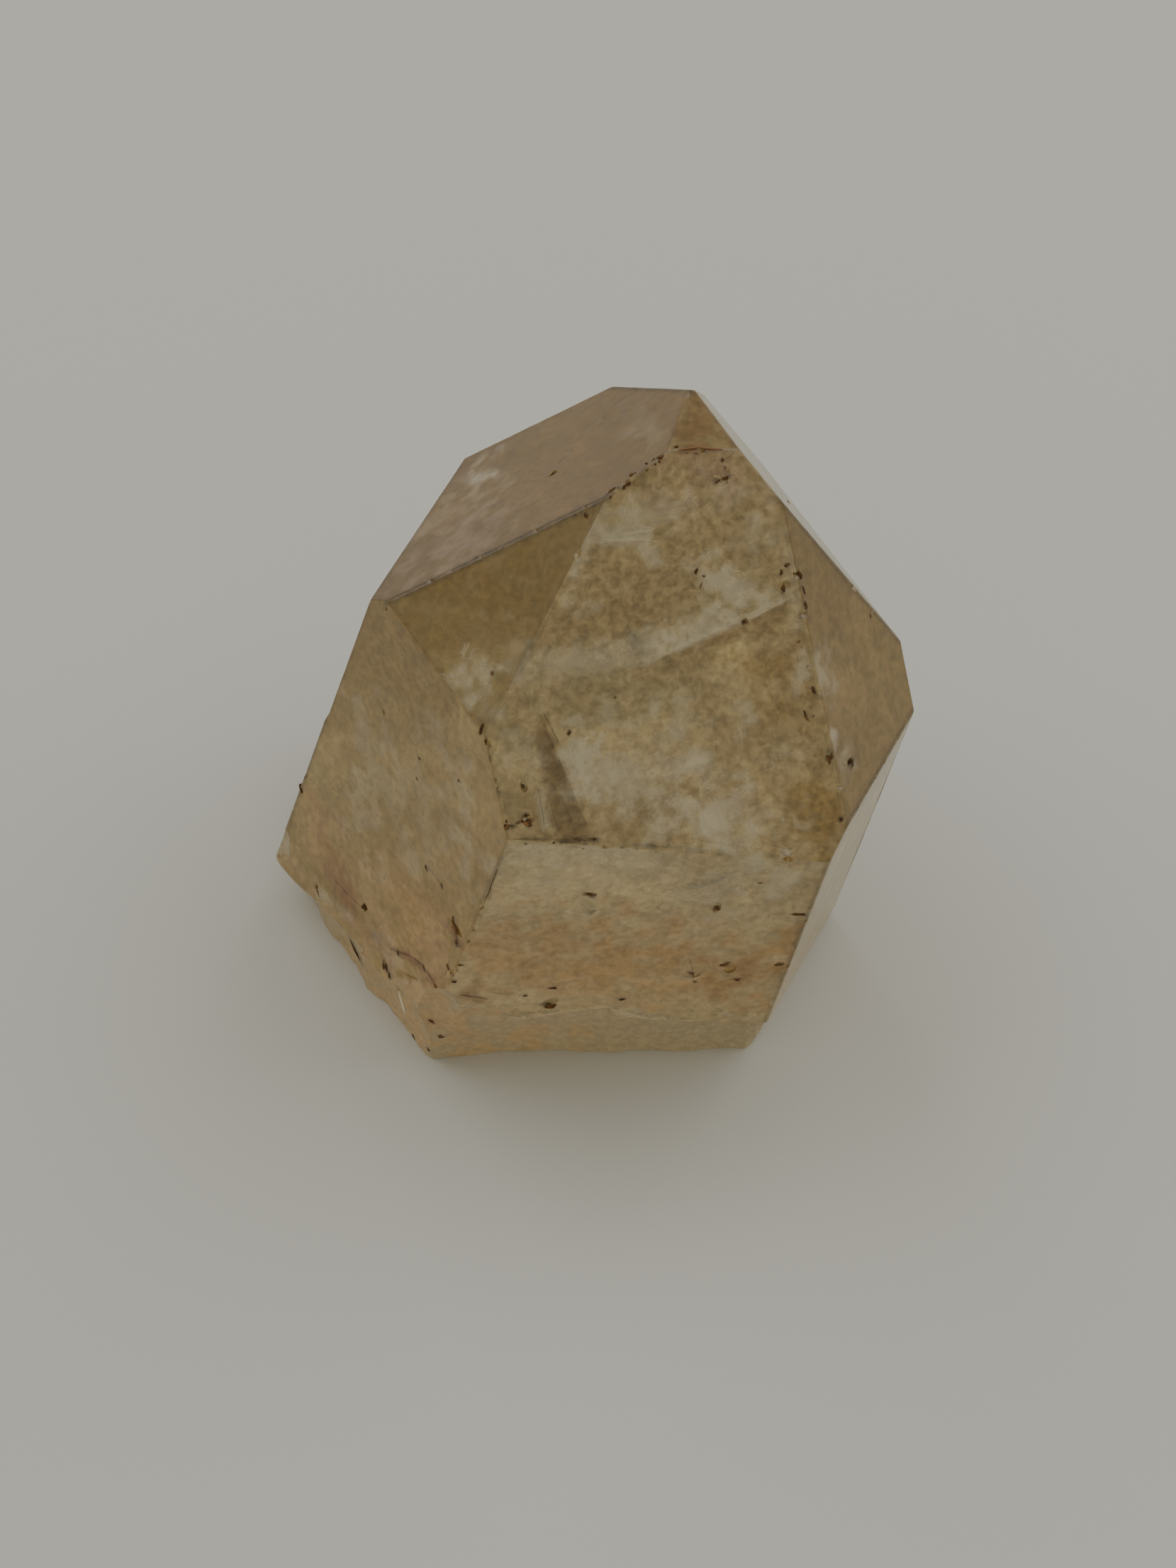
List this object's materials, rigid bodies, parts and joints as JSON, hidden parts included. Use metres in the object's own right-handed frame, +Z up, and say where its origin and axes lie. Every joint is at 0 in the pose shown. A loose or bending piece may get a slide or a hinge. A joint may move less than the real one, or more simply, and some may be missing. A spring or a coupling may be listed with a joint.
{
  "type": "natural citrine crystal",
  "caption": "Short stubby quartz point, smoky golden and see-through, with a six-sided prism, sloping tip faces and a broken base that it stands on, leaning a little.",
  "frame": {"origin": "centre of the bounding box at the level of the flat broken base", "axes": "+Z up with the crystal standing on its base, its tip leaning towards +X and a little +Y; -Y is the side that faces the viewer of the picture"},
  "size_m": [0.03, 0.0222, 0.0309],
  "materials": {
    "citrine": "see-through smoky golden quartz, satin natural crystal faces, cloudy inside, dark iron specks in pits, orange stains low down"
  },
  "bodies": {
    "root": {"citrine_crystal": "citrine"}
  },
  "joints": []
}
